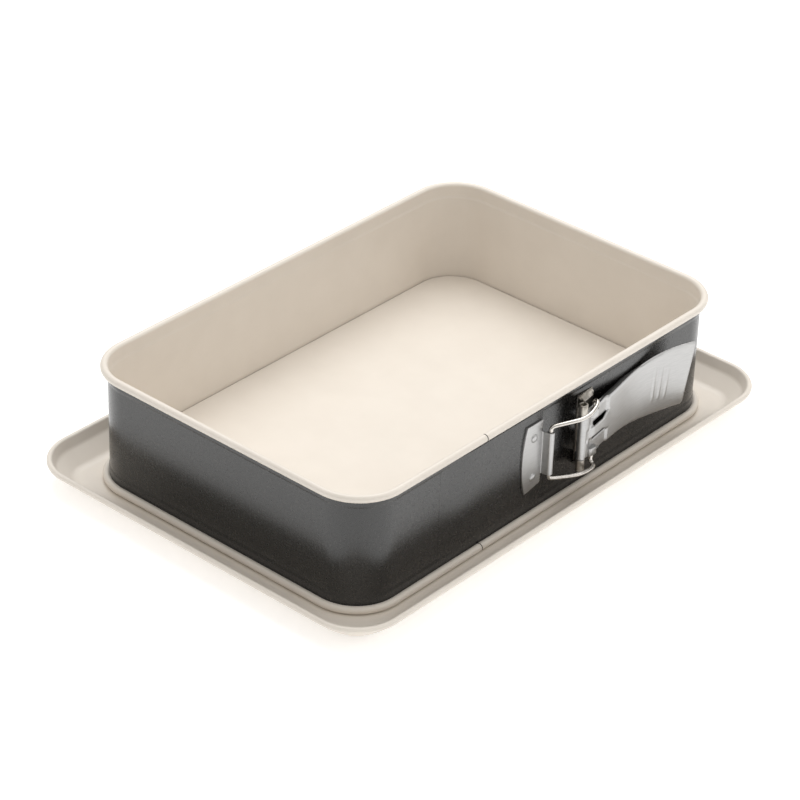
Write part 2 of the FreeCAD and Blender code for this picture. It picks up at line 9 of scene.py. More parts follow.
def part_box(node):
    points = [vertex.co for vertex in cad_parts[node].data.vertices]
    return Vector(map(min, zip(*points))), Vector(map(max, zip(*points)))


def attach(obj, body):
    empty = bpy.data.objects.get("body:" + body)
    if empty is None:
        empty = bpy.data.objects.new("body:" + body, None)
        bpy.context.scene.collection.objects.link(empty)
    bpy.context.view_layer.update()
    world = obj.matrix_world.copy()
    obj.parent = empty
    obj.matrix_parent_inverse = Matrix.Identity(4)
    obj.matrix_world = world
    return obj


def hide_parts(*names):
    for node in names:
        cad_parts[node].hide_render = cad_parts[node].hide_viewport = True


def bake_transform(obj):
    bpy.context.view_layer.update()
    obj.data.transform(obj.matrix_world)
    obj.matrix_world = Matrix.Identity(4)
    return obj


# Rectangular springform pan: a base tray with a raised floor, a spring ring in two arms and
# an over-centre wire clasp.  Shapes are written in millimetres and become metres when a mesh
# is made.  Places come from the frame: the CAD boxes and the joints.

MM = 0.001
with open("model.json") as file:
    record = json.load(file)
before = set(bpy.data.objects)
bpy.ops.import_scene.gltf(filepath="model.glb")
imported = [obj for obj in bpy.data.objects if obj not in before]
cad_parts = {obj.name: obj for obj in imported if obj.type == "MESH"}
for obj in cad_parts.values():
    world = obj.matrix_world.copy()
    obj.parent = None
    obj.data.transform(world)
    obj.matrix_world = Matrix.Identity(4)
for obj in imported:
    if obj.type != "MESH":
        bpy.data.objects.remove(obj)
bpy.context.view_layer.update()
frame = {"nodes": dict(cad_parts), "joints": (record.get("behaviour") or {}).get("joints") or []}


def cad_box(node):
    """Lowest and highest corner of a CAD node, in millimetres."""
    low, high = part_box(node)
    return low / MM, high / MM


def pivot(joint):
    """The point a hinge turns about, in millimetres."""
    found = [entry for entry in frame["joints"] if entry["name"] == joint][0]
    return Vector(found["pos_m"]) / MM


# ---------------------------------------------------------------- sizes

RING_LOW, RING_HIGH = cad_box("ring_lever_side")
CATCH_HIGH = cad_box("ring_catch_side")[1]
TRAY_HIGH = cad_box("base_tray")[1]
PLATE_LOW, PLATE_HIGH = cad_box("catch_plate")
BRACKET_HIGH = cad_box("hinge_bracket")[1]
LEVER_LOW, LEVER_HIGH = cad_box("lever")
HINGE = pivot("lever_swing")
EYE = pivot("bail_swing")
FLEX = pivot("ring_flex")
SOCKET = HINGE + Vector((9.4, -0.3, 0.0))      # where the bail's ends sit in the lever
SOCKET_TRAVEL = 2.7         # how far they can slide towards the hinge
CLASP_Z = HINGE.z

ROLL_STANDS = 3.75          # the rim and foot rolls stand this far out from the wall's face
WALL_X = RING_HIGH.x - ROLL_STANDS
WALL_Y = RING_HIGH.y - ROLL_STANDS
WALL_CORNER = 24.0
WALL_SHEET = 0.65
JOGGLE = 0.34               # the wall's top and bottom bands are set outward by this
SEAM_X = -53.0              # where the ring opens, on the clasp side
SEAM_GAP = 0.55             # the catch side stops this far short of the lever side
MEETING_X = FLEX.x + 17.0   # where the two sides meet on the back wall
FLAP_INNER, FLAP_OUTER = 0.38, 0.98      # the flap's two faces, out from the wall's face
FLAP_LOW, FLAP_HIGH = 7.0, 63.6
FLAP_END = CATCH_HIGH.x

TRAY_SHEET = 0.9
LIP_ROLL = 1.6              # radius of the tray's rolled lip
LIP_CORNER = 25.0
LIP_HALF = (TRAY_HIGH.x - LIP_ROLL, TRAY_HIGH.y - LIP_ROLL)
LIP_Z = TRAY_HIGH.z - LIP_ROLL
FLOOR_Z = 11.4
FLOOR_CORNER = 23.0
FLOOR_GAP = 0.35            # between the floor's edge and the ring's inside
FLOOR_HALF = (WALL_X - (WALL_SHEET + FLOOR_GAP), WALL_Y - (WALL_SHEET + FLOOR_GAP))
BRIM_START = 12.4           # the brim slopes up from here, measured in from the lip's roll
BRIM_END = 3.4              # and turns to meet the lip here,
BRIM_RISE = 8.2             # at this height

BARREL = 2.4                # radius of the hinge tube
BARREL_HALF = 12.9          # half its length
LEVER_SHEET = 1.0
NECK_SLOPE = math.radians(8.97)          # the lever's neck leans in towards the wall
NECK_STRAIGHT = 38.1        # length of the neck, measured along its slope
NECK_HALF = 13.8            # half its height
TAB_CURVE = 100.0           # radius of the finger tab's bow
LEVER_TIP = LEVER_HIGH.x - HINGE.x
TIP_HALF = (LEVER_HIGH.z - LEVER_LOW.z) / 2
TIP_START = 50.0            # the lever's slant and twist begin here
TIP_SLANT, TIP_TWIST = 1.8, 1.5          # how far they move the tip's corners
SLOT_START, SLOT_BEND, SLOT_POINT = 9.0, 18.0, 22.0      # along the lever
SLOT_INSIDE, SLOT_OUTSIDE = 3.0, 5.4     # the slots' two edges, from the lever's middle
LEVER_ROWS, STRIP_STEPS, SLOT_STEPS, EDGE_STEPS = 150, 6, 3, 10
PAD_DEPTH = 0.9             # the pads beside the slots are pressed in by this
STRIP_RISE = 0.35           # and the middle strip stands out
RIB_RISE, RIB_START, RIB_PITCH = 0.35, 66.0, 5.0         # three short ribs on the tab
RIB_HALF, RIB_SOFT = 8.5, 1.3            # half the first one's length; width of their flanks


# ---------------------------------------------------------------- mesh building

class Skin:
    """Points and faces in millimetres, gathered from several surfaces into one mesh."""

    def __init__(self):
        self.points = []
        self.faces = []
        self.kinds = []

    def grid(self, rows, kinds=None, around=False, ends=False, keep=None, cap=0):
        """Quads between rows of points.  around joins each row's last point to its first,
        ends closes the first and last rows with faces of the kind given by cap, and keep
        says whether the quad at a row and column is made."""
        base = len(self.points)
        count = len(rows[0])
        for row in rows:
            self.points.extend(Vector(point) for point in row)
        for r in range(len(rows) - 1):
            here = base + r * count
            after = here + count
            for c in range(count if around else count - 1):
                beside = (c + 1) % count
                if keep and not keep(r, c):
                    continue
                self.faces.append([here + c, here + beside, after + beside, after + c])
                self.kinds.append(kinds[c] if kinds else 0)
        if ends:
            for r in (0, len(rows) - 1):
                self.faces.append([base + r * count + c for c in range(count)])
                self.kinds.append(cap)
        return self

    def piece(self, name, materials, sharp=40.0):
        """Make the object.  Edges that turn by more than sharp degrees stay sharp."""
        mesh = bpy.data.meshes.new(name)
        mesh.from_pydata([point * MM for point in self.points], [], self.faces)
        for material in materials:
            mesh.materials.append(material)
        mesh.polygons.foreach_set("material_index", self.kinds)
        work = bmesh.new()
        work.from_mesh(mesh)
        bmesh.ops.remove_doubles(work, verts=work.verts, dist=1e-6)
        bmesh.ops.dissolve_degenerate(work, edges=work.edges, dist=1e-7)
        bmesh.ops.recalc_face_normals(work, faces=work.faces)
        work.to_mesh(mesh)
        work.free()
        mesh.shade_smooth()
        mesh.set_sharp_from_angle(angle=math.radians(sharp))
        made = bpy.data.objects.new(name, mesh)
        bpy.context.scene.collection.objects.link(made)
        return made


def arc(centre, radius, start, stop, steps):
    """Points of an arc in a plane, angles in degrees."""
    points = []
    for step in range(steps + 1):
        angle = math.radians(start + (stop - start) * step / steps)
        points.append((centre[0] + radius * math.cos(angle),
                       centre[1] + radius * math.sin(angle)))
    return points


def smooth(value):
    """0 below 0, 1 above 1 and an even S between."""
    value = min(max(value, 0.0), 1.0)
    return value * value * (3 - 2 * value)


def rising(value, start, length):
    """0 up to start, then smoothly up to 1 over length."""
    return smooth((value - start) / length)


def between(a, b, share):
    return a + (b - a) * share


def sweep(stations, section):
    """One row of points at each station (x, y, normal x, normal y), from (out, z) pairs."""
    return [[(x + out * nx, y + out * ny, z) for out, z in section]
            for x, y, nx, ny in stations]


def ring_of_points(middle, side, up, radius, sides):
    return [middle + (side * math.cos(turn) + up * math.sin(turn)) * radius
            for turn in (2 * math.pi * s / sides for s in range(sides))]


def tube_rows(route, radius, sides=20):
    """Rings of points round a route, turned as little as possible from one to the next."""
    rows = []
    side = None
    for index, here in enumerate(route):
        before = route[max(index - 1, 0)]
        after = route[min(index + 1, len(route) - 1)]
        ahead = (after - before).normalized()
        if side is None:
            side = ahead.orthogonal().normalized()
        side = (side - ahead * side.dot(ahead)).normalized()
        rows.append(ring_of_points(here, side, ahead.cross(side), radius, sides))
    return rows


def lathe_rows(profile, centre, axis, sides=28):
    """Rings of points about an axis, from (radius, distance along the axis) pairs."""
    axis = Vector(axis)
    side = axis.orthogonal().normalized()
    up = axis.cross(side)
    return [ring_of_points(Vector(centre) + axis * along, side, up, radius, sides)
            for radius, along in profile]


def spline(points, steps=10):
    """A smooth curve through the points, as short straight runs."""
    points = [Vector(point) for point in points]
    ends = [points[0] * 2 - points[1]] + points + [points[-1] * 2 - points[-2]]
    route = []
    for a, b, c, d in zip(ends, ends[1:], ends[2:], ends[3:]):
        for step in range(steps):
            t = step / steps
            route.append((b * 2 + (c - a) * t + (a * 2 - b * 5 + c * 4 - d) * t * t
                          + (b * 3 - a - c * 3 + d) * t * t * t) / 2)
    return route + [points[-1]]


# ---------------------------------------------------------------- materials

class Nodes:
    """A short way to write a node material."""

    def __init__(self, name):
        self.material = bpy.data.materials.new(name)
        self.material.use_nodes = True
        self.tree = self.material.node_tree
        self.shader = self.tree.nodes["Principled BSDF"]
        self.place = self.add("ShaderNodeTexCoord").outputs["Object"]

    def add(self, kind, **inputs):
        node = self.tree.nodes.new(kind)
        for key, value in inputs.items():
            node.inputs[key.replace("_", " ")].default_value = value
        return node

    def link(self, source, target):
        self.tree.links.new(source, target)

    def stretched(self, scale):
        mapping = self.add("ShaderNodeMapping")
        mapping.inputs["Scale"].default_value = scale
        self.link(self.place, mapping.inputs["Vector"])
        return mapping.outputs["Vector"]

    def noise(self, scale, detail=3.0, source=None):
        node = self.add("ShaderNodeTexNoise", Scale=scale, Detail=detail)
        self.link(source or self.place, node.inputs["Vector"])
        return node.outputs["Fac"]

    def cells(self, scale):
        node = self.add("ShaderNodeTexVoronoi", Scale=scale)
        self.link(self.place, node.inputs["Vector"])
        return node.outputs["Color"]

    def ramp(self, source, stops):
        """Stops are (position, value); a value is a number or a colour."""
        node = self.add("ShaderNodeValToRGB")
        self.link(source, node.inputs["Fac"])
        places = node.color_ramp.elements
        while len(places) < len(stops):
            places.new(0.5)
        for place, (position, value) in zip(places, stops):
            colour = value if isinstance(value, tuple) else (value, value, value)
            place.position = position
            place.color = (*colour, 1.0)
        return node.outputs["Color"]

    def bump(self, source, strength, distance):
        node = self.add("ShaderNodeBump", Strength=strength, Distance=distance)
        self.link(source, node.inputs["Height"])
        self.link(node.outputs["Normal"], self.shader.inputs["Normal"])

    def set(self, **inputs):
        for key, value in inputs.items():
            self.shader.inputs[key.replace("_", " ")].default_value = value
        return self


def cream_coating():
    """Ceramic-look non-stick: warm cream, faintly mottled, with a fine orange-peel."""
    made = Nodes("cream_coating")
    made.link(made.ramp(made.noise(55.0), [(0.3, (0.750, 0.690, 0.615)),
                                           (0.7, (0.775, 0.715, 0.640))]),
              made.shader.inputs["Base Color"])
    made.link(made.ramp(made.noise(240.0), [(0.3, 0.36), (0.7, 0.46)]),
              made.shader.inputs["Roughness"])
    made.bump(made.noise(2600.0, 2.0), 0.05, 0.0002)
    made.set(Coat_Weight=0.12, Coat_Roughness=0.25)
    return made.material


def dark_coating():
    """Graphite coating with a fine metallic fleck."""
    made = Nodes("dark_coating")
    made.link(made.ramp(made.cells(4200.0), [(0.0, (0.003, 0.0029, 0.0027)),
                                             (0.8, (0.006, 0.0058, 0.0055)),
                                             (1.0, (0.06, 0.058, 0.055))]),
              made.shader.inputs["Base Color"])
    made.link(made.ramp(made.noise(900.0), [(0.3, 0.20), (0.7, 0.30)]),
              made.shader.inputs["Roughness"])
    made.bump(made.cells(4200.0), 0.06, 0.0002)
    made.set(Metallic=0.1, IOR=1.75)
    return made.material


def satin_steel():
    """Pressed steel with a fine drawn grain along the sheet."""
    made = Nodes("satin_steel")
    grain = made.noise(160.0, 5.0, made.stretched((1.0, 1.0, 22.0)))
    made.link(made.ramp(grain, [(0.3, (0.43, 0.428, 0.425)), (0.7, (0.52, 0.517, 0.512))]),
              made.shader.inputs["Base Color"])
    made.link(made.ramp(grain, [(0.3, 0.30), (0.7, 0.40)]), made.shader.inputs["Roughness"])
    made.bump(grain, 0.08, 0.0001)
    made.set(Metallic=1.0)
    return made.material


def dull_steel():
    """Plated steel gone dull, slightly brown and blotched."""
    made = Nodes("dull_steel")
    made.link(made.ramp(made.noise(320.0, 4.0), [(0.3, (0.36, 0.33, 0.29)),
                                                 (0.7, (0.56, 0.53, 0.48))]),
              made.shader.inputs["Base Color"])
    made.link(made.ramp(made.noise(600.0), [(0.3, 0.30), (0.7, 0.45)]),
              made.shader.inputs["Roughness"])
    made.bump(made.noise(1500.0), 0.06, 0.0001)
    made.set(Metallic=1.0)
    return made.material


def bright_wire():
    """Nickel-plated wire, nearly a mirror, with faint draw marks."""
    made = Nodes("bright_wire")
    marks = made.noise(500.0, 3.0, made.stretched((1.0, 1.0, 0.2)))
    made.link(made.ramp(marks, [(0.3, (0.56, 0.53, 0.49)), (0.7, (0.68, 0.65, 0.61))]),
              made.shader.inputs["Base Color"])
    made.link(made.ramp(marks, [(0.3, 0.11), (0.7, 0.19)]), made.shader.inputs["Roughness"])
    made.bump(marks, 0.05, 0.0001)
    made.set(Metallic=1.0)
    return made.material


CREAM = cream_coating()
DARK = dark_coating()
SATIN = satin_steel()
DULL = dull_steel()
BRIGHT = bright_wire()


# ---------------------------------------------------------------- base tray

def corners(x, y):
    """The four corners in anticlockwise order, from +X -Y."""
    return (x, -y), (x, y), (-x, y), (-x, -y)


def rounded_loop(half, radius, grow, z):
    """A round-cornered rectangle grown outward, anticlockwise; every loop has as many
    points as every other, so that any two can be joined."""
    straight_points, corner_points = 10, 18
    centres = corners(half[0] - radius, half[1] - radius)
    points = []
    for number, centre in enumerate(centres):
        turn = 90.0 * number
        points += arc(centre, radius + grow, turn - 90.0, turn, corner_points)
        following = arc(centres[(number + 1) % 4], radius + grow, turn, turn + 90.0, 1)[0]
        last = points[-1]
        points += [(between(last[0], following[0], step / straight_points),
                    between(last[1], following[1], step / straight_points))
                   for step in range(1, straight_points)]
    return [(x, y, z) for x, y in points]


def make_tray():
    """The section from the floor out over the brim, round the lip and back underneath."""
    edge = 1.0                     # bend radius at the floor's edge and at its foot
    inward = -20.0                 # the floor's flat middle starts here
    foot_bend, heel_bend = 8.0, 5.0
    edge_steps, lip_steps = 6, 26
    lip_end = -115.0
    foot = (-BRIM_START, TRAY_SHEET)
    heel = (-BRIM_END, BRIM_RISE)
    slope = math.degrees(math.atan2(heel[1] - foot[1], heel[0] - foot[0]))
    lip_slope = math.degrees(math.atan2(LIP_Z - heel[1], -LIP_ROLL - heel[0]))
    floor_top = [(inward, FLOOR_Z)]
    floor_top += arc((-edge, FLOOR_Z - edge), edge, 90.0, 0.0, edge_steps)
    floor_top += arc((edge, TRAY_SHEET + edge), edge, 180.0, 270.0, edge_steps)
    brim = bend_between(foot, 0.0, slope, foot_bend)
    brim += bend_between(heel, slope, lip_slope, heel_bend)
    brim += arc((0.0, LIP_Z), LIP_ROLL, 90.0 + lip_slope, lip_end, lip_steps)
    brim += bend_between(heel, slope, lip_slope, heel_bend, TRAY_SHEET)[::-1]
    brim += bend_between(foot, 0.0, slope, foot_bend, TRAY_SHEET)[::-1]
    hollow = arc((edge, TRAY_SHEET + edge), edge + TRAY_SHEET, 270.0, 180.0, edge_steps)
    hollow += [(-TRAY_SHEET, FLOOR_Z - TRAY_SHEET), (inward, FLOOR_Z - TRAY_SHEET)]
    rows = [rounded_loop(FLOOR_HALF, FLOOR_CORNER, out, z) for out, z in floor_top]
    rows += [rounded_loop(LIP_HALF, LIP_CORNER, out, z) for out, z in brim]
    rows += [rounded_loop(FLOOR_HALF, FLOOR_CORNER, out, z) for out, z in hollow]
    return Skin().grid(rows, around=True, ends=True).piece("tray_shell", [CREAM])


def bend_between(corner, before, after, radius, below=0.0):
    """A round bend in place of a corner of the brim, where its slope goes from before to
    after, in degrees; the underside is the same bend, further from its centre by below."""
    back = radius * math.tan(math.radians(after - before) / 2)
    start = math.radians(before)
    centre = (corner[0] - back * math.cos(start) - radius * math.sin(start),
              corner[1] - back * math.sin(start) + radius * math.cos(start))
    return arc(centre, radius + below, before - 90.0, after - 90.0, 10)


# ---------------------------------------------------------------- spring ring

CREAM_FACE, DARK_FACE = 0, 1             # places of the ring's two materials in its list


def straight_run(a, b, normal):
    """Stations every few millimetres from a to b, without the last."""
    spacing = 6.0
    start, stop = Vector(a), Vector(b)
    count = max(1, round((stop - start).length / spacing))
    return [(*start.lerp(stop, step / count), *normal) for step in range(count)]


def corner_run(number):
    """Stations round one corner: 0 is +X -Y, then anticlockwise."""
    steps = 20
    centre = corners(WALL_X - WALL_CORNER, WALL_Y - WALL_CORNER)[number]
    turn = 90.0 * number
    outer = arc(centre, WALL_CORNER, turn - 90.0, turn, steps)
    normals = arc((0.0, 0.0), 1.0, turn - 90.0, turn, steps)
    return [(*point, *normal) for point, normal in zip(outer, normals)]


def lever_side_stations():
    """From the seam round the +X end to the meeting on the back wall."""
    x, y = WALL_X - WALL_CORNER, WALL_Y - WALL_CORNER
    stations = straight_run((SEAM_X, -WALL_Y), (x, -WALL_Y), (0.0, -1.0))
    stations += corner_run(0)
    stations += straight_run((WALL_X, -y), (WALL_X, y), (1.0, 0.0))[1:]
    stations += corner_run(1)
    stations += straight_run((x, WALL_Y), (MEETING_X, WALL_Y), (0.0, 1.0))[1:]
    return stations + [(MEETING_X, WALL_Y, 0.0, 1.0)]


def catch_side_stations():
    """From the meeting on the back wall round the -X end to the seam."""
    x, y = WALL_X - WALL_CORNER, WALL_Y - WALL_CORNER
    end = SEAM_X - SEAM_GAP
    stations = straight_run((MEETING_X, WALL_Y), (-x, WALL_Y), (0.0, 1.0))
    stations += corner_run(2)
    stations += straight_run((-WALL_X, y), (-WALL_X, -y), (-1.0, 0.0))[1:]
    stations += corner_run(3)
    stations += straight_run((-x, -WALL_Y), (end, -WALL_Y), (0.0, -1.0))[1:]
    return stations + [(end, -WALL_Y, 0.0, -1.0)]


def ring_section():
    """Up the inside, round the rim, down the outside and round the foot."""
    inside, outside = -WALL_SHEET, 0.0
    roll = (ROLL_STANDS - inside - JOGGLE) / 2
    centre = ROLL_STANDS - roll
    curl = 132.4                   # the rolls end at this angle, against the wall's outside
    roll_steps = 30
    low_bend, high_bend = 9.6, 61.6
    bend = ((JOGGLE, -1.2), (JOGGLE, -0.4), (0.0, 0.4), (0.0, 1.2))
    wall = [(offset, low_bend + rise) for offset, rise in bend]
    wall += [(offset, high_bend - rise) for offset, rise in reversed(bend)]
    section = [(inside + offset, z) for offset, z in wall]
    section += arc((centre, RING_HIGH.z - roll), roll, 180.0, -curl, roll_steps)
    kinds = [CREAM_FACE] * (len(section) - 1) + [DARK_FACE]
    section += [(outside + offset, z) for offset, z in reversed(wall)]
    kinds += [DARK_FACE] * len(wall)
    section += arc((centre, RING_LOW.z + roll), roll, curl, -180.0, roll_steps)
    kinds += [CREAM_FACE] * (roll_steps + 1)
    return section, kinds


def make_ring_side(name, stations, flap=None):
    """One side of the ring; the ends of its sheet are dark."""
    section, kinds = ring_section()
    skin = Skin().grid(sweep(stations, section), kinds, around=True, ends=True, cap=DARK_FACE)
    if flap:
        skin.grid(*flap, around=True, ends=True, cap=DARK_FACE)
    return skin.piece(name, [CREAM, DARK])


def flap_section(inner, outer):
    soft = min(0.2, (outer - inner) / 2)
    return [(inner, FLAP_LOW), (outer - soft, FLAP_LOW), (outer, FLAP_LOW + soft),
            (outer, FLAP_HIGH - soft), (outer - soft, FLAP_HIGH), (inner, FLAP_HIGH)]


def flap_rows():
    """The catch side's flap, lapping over the lever side's wall past the seam.  Before the
    seam it thickens from almost nothing on the catch side's wall.  It is cream inside."""
    start, length, steps = SEAM_X - 31.0, 28.0, 14
    thin_inner, thin_outer = 0.02, 0.04
    rows = []
    for step in range(steps + 1):
        share = step / steps
        section = flap_section(between(thin_inner, FLAP_INNER, smooth(share)),
                               between(thin_outer, FLAP_OUTER, smooth(share)))
        rows += sweep([(start + length * share, -WALL_Y, 0.0, -1.0)], section)
    margin = 15.0                  # of the loops that keep the flap's two ends straight
    lap = [(x, -WALL_Y, 0.0, -1.0)
           for x in (SEAM_X, SEAM_X + margin, FLAP_END - margin, FLAP_END)]
    section = flap_section(FLAP_INNER, FLAP_OUTER)
    kinds = [DARK_FACE] * (len(section) - 1) + [CREAM_FACE]
    return rows + sweep(lap, section), kinds


# ---------------------------------------------------------------- lever

def lever_face(along):
    """The lever's outer face at a distance along X: (y from the hinge, slope angle)."""
    sine, cosine = math.sin(NECK_SLOPE), math.cos(NECK_SLOPE)
    straight_end = sine * BARREL + cosine * NECK_STRAIGHT
    if along <= straight_end:
        run = (along - sine * BARREL) / cosine
        return -cosine * BARREL + sine * run, NECK_SLOPE
    end_y = -cosine * BARREL + sine * NECK_STRAIGHT
    centre_x = straight_end + sine * TAB_CURVE
    centre_y = end_y - cosine * TAB_CURVE
    lean = math.asin((centre_x - along) / TAB_CURVE)
    return centre_y + TAB_CURVE * math.cos(lean), lean


def lever_half(along):
    """Half the lever's height at a distance along X."""
    shoulder = between(BARREL_HALF, NECK_HALF, rising(along, 2.0, 3.0))
    flare = (TIP_HALF - NECK_HALF) * rising(along, 26.0, 58.0)
    corner = 0.9
    into = max(along - (LEVER_TIP - corner), 0.0)
    cut = corner - math.sqrt(max(corner * corner - into * into, 0.0))
    return shoulder + flare - cut


def strip_half(along):
    """Half the width of the lever's middle strip, which widens where the slots end."""
    pinch = min(max((along - SLOT_BEND) / (SLOT_POINT - SLOT_BEND), 0.0), 0.9)
    return between(SLOT_INSIDE, SLOT_OUTSIDE, pinch)


def lever_relief(along, rise):
    """How far the pressed shapes stand out of the lever's face: the pads beside the slots
    in, the middle strip and three short ribs on the tab out."""
    height = abs(rise)
    beside = smooth((height - strip_half(along)) / 0.8 + 0.3)
    pads = beside * rising(along, 3.0, 3.0) * (1.0 - rising(along, 21.6, 2.4))
    strip = STRIP_RISE - PAD_DEPTH * (1.0 - rising(along, 3.5, 6.0))
    strip *= (1.0 - beside) * (1.0 - rising(along, 19.0, 8.0))
    relief = strip - PAD_DEPTH * pads
    for rib in range(3):
        across = rising(abs(along - RIB_START - RIB_PITCH * rib), 0.0, RIB_SOFT)
        length = rising(height, RIB_HALF + rib, RIB_SOFT)
        relief += RIB_RISE * (1.0 - across) * (1.0 - length)
    return relief


def make_lever():
    """The pressed sheet with its two slots."""
    start = math.sin(NECK_SLOPE) * BARREL
    rows = [lever_row(between(start, LEVER_TIP, index / LEVER_ROWS))
            for index in range(LEVER_ROWS + 1)]
    middle = len(rows[0]) // 2
    slots = [middle + STRIP_STEPS + step for step in range(SLOT_STEPS)]
    slots += [middle - STRIP_STEPS - step - 1 for step in range(SLOT_STEPS)]

    def keep(row, column):
        along = between(start, LEVER_TIP, (row + 0.5) / LEVER_ROWS)
        return not (SLOT_START < along < SLOT_POINT and column in slots)

    sheet = Skin().grid(rows, keep=keep).piece("lever_sheet", [SATIN], sharp=50.0)
    return thicken(sheet, LEVER_SHEET)


def make_barrel():
    """The lever's rolled barrel and the two sockets that hold the bail's ends."""
    soft, bore = 0.25, 1.35
    profile = [(bore, -BARREL_HALF), (BARREL - soft, -BARREL_HALF),
               (BARREL, -BARREL_HALF + soft), (BARREL, BARREL_HALF - soft),
               (BARREL - soft, BARREL_HALF), (bore, BARREL_HALF)]
    skin = Skin().grid(lathe_rows(profile, HINGE, (0, 0, 1)), around=True)
    # How far each loop stands out from the ends' line of travel, and its height.
    boss = ((1.8, 9.2), (2.1, 9.5), (2.1, 13.4), (1.95, 13.6))
    hollow = ((1.75, 13.6), (1.65, 13.4), (1.65, 11.2), (0.4, 11.2))
    for side in (1, -1):
        rows = [[(x, y, CLASP_Z + side * rise) for x, y in socket_outline(grow)]
                for grow, rise in boss + hollow]
        skin.grid(rows, around=True, ends=True)
    return skin.piece("lever_barrel", [SATIN])


def socket_outline(grow):
    """An oblong round the bail's end and the travel it has towards the hinge."""
    x, y = SOCKET.x, SOCKET.y
    far = arc((x, y), grow, -90.0, 90.0, 10)
    return far + arc((x - SOCKET_TRAVEL, y), grow, 90.0, 270.0, 10)


def lever_row(along):
    """One cross row of the lever, from its lower flange to its upper one."""
    half = lever_half(along)
    low = strip_half(along)
    heights = [low * share / STRIP_STEPS for share in range(STRIP_STEPS + 1)]
    heights += [between(low, SLOT_OUTSIDE, share / SLOT_STEPS)
                for share in range(1, SLOT_STEPS + 1)]
    heights += [between(SLOT_OUTSIDE, half, share / EDGE_STEPS)
                for share in range(1, EDGE_STEPS + 1)]
    sides = []
    for side in (-1, 1):
        points = [lever_point(along, side * height, half) for height in heights]
        sides.append(points + lever_flange(along, side, half))
    return sides[0][:0:-1] + sides[1]


def lever_place(along, rise, out):
    """A point of the lever: out of its face by out, the tip cut at a slant and twisted."""
    tipward = smooth((along - TIP_START) / (LEVER_TIP - TIP_START))
    along -= TIP_SLANT * tipward * (1.0 - rise / TIP_HALF)
    out += TIP_TWIST * tipward * rise / TIP_HALF
    y, lean = lever_face(along)
    return Vector((HINGE.x + along + math.sin(lean) * out,
                   HINGE.y + y - math.cos(lean) * out, CLASP_Z + rise))


def lever_point(along, rise, half):
    """A point of the lever's face, with the pressed shapes and the edge bent back a little."""
    edge_width, edge_drop = 1.0, 0.5
    edge = rising(abs(rise), half - edge_width, edge_width) * edge_drop
    return lever_place(along, rise, lever_relief(along, rise) - edge)


def lever_flange(along, side, half):
    """The edge turned back towards the wall, deepest along the neck."""
    deep = rising(along, 14.0, 6.0) * (1.0 - rising(along, 36.0, 22.0))
    depth = between(0.4, 2.4, deep)
    start, spread = 0.5, 0.15
    return [lever_place(along, side * (half + spread * share), -start - depth * share)
            for share in (0.35, 1.0)]


def thicken(piece, thick):
    """Give a piece made of one surface the thickness of its sheet."""
    modifier = piece.modifiers.new("sheet", "SOLIDIFY")
    modifier.thickness = thick * MM
    modifier.offset = -1.0
    return piece


# ---------------------------------------------------------------- clasp

def strip_rows(path, thick, low, high, soft=0.15):
    """A strip of sheet that follows a path seen from above, standing from low to high; its
    upper and lower edges are softened."""
    path = [Vector(point) for point in path]
    left, right = [], []
    for index, here in enumerate(path):
        ahead = (path[min(index + 1, len(path) - 1)] - path[max(index - 1, 0)]).normalized()
        side = Vector((-ahead.y, ahead.x)) * (thick / 2)
        left.append(here + side)
        right.append(here - side)
    rows = []
    for inset, z in ((soft, low), (0.0, low + soft), (0.0, high - soft), (soft, high)):
        share = 1.0 - 2.0 * inset / thick
        outline = [middle + (edge - middle) * share for middle, edge in zip(path, left)]
        outline += [middle + (edge - middle) * share
                    for middle, edge in reversed(list(zip(path, right)))]
        rows.append([(point.x, point.y, z) for point in outline])
    return rows


def plate_rows(outline, back, thick, soft=0.2):
    """A flat plate on the clasp side: outline in (x, z), its back at y = back."""
    middle = Vector((sum(x for x, _ in outline), sum(z for _, z in outline))) / len(outline)
    rows = []
    for inset, y in ((0.0, back), (0.0, back - thick + soft), (soft, back - thick)):
        row = []
        for x, z in outline:
            away = (Vector((x, z)) - middle).normalized() * inset
            row.append((x - away.x, y, z - away.y))
        rows.append(row)
    return rows


def make_catch_plate():
    """A bowed plate; its straight edge turns outward and rolls into the bail's eye."""
    sheet = 1.0
    half = (PLATE_HIGH.z - PLATE_LOW.z) / 2
    bow, corner, lower_rise = 3.0, 1.5, 2.0
    left, right = PLATE_LOW.x, EYE.x - 3.0
    radius = (half * half + bow * bow) / (bow * 2)
    spread = math.degrees(math.asin(half / radius))
    outline = arc((left + radius, CLASP_Z), radius, 180.0 - spread, 180.0 + spread, 16)
    outline += arc((right - corner, CLASP_Z - half + corner + lower_rise), corner, -90.0, 0.0, 5)
    outline.append((right, CLASP_Z + half))
    skin = Skin().grid(plate_rows(outline, PLATE_HIGH.y, sheet), around=True, ends=True)
    eye_radius, eye_sheet, eye_half = 1.6, 0.8, 12.4
    turn = 0.9                     # radius of the bend where the strip leaves the plate
    y = PLATE_HIGH.y - sheet / 2
    path = [(right - 1.2, y), (right + 0.1, y)]
    path += arc((right + 0.1, y - turn), turn, 90.0, 0.0, 5)
    path += arc((EYE.x, EYE.y), eye_radius, 180.0, 460.0, 26)
    skin.grid(strip_rows(path, eye_sheet, CLASP_Z - eye_half, CLASP_Z + eye_half),
              around=True, ends=True)
    return skin.piece("catch_plate_pressed", [SATIN])


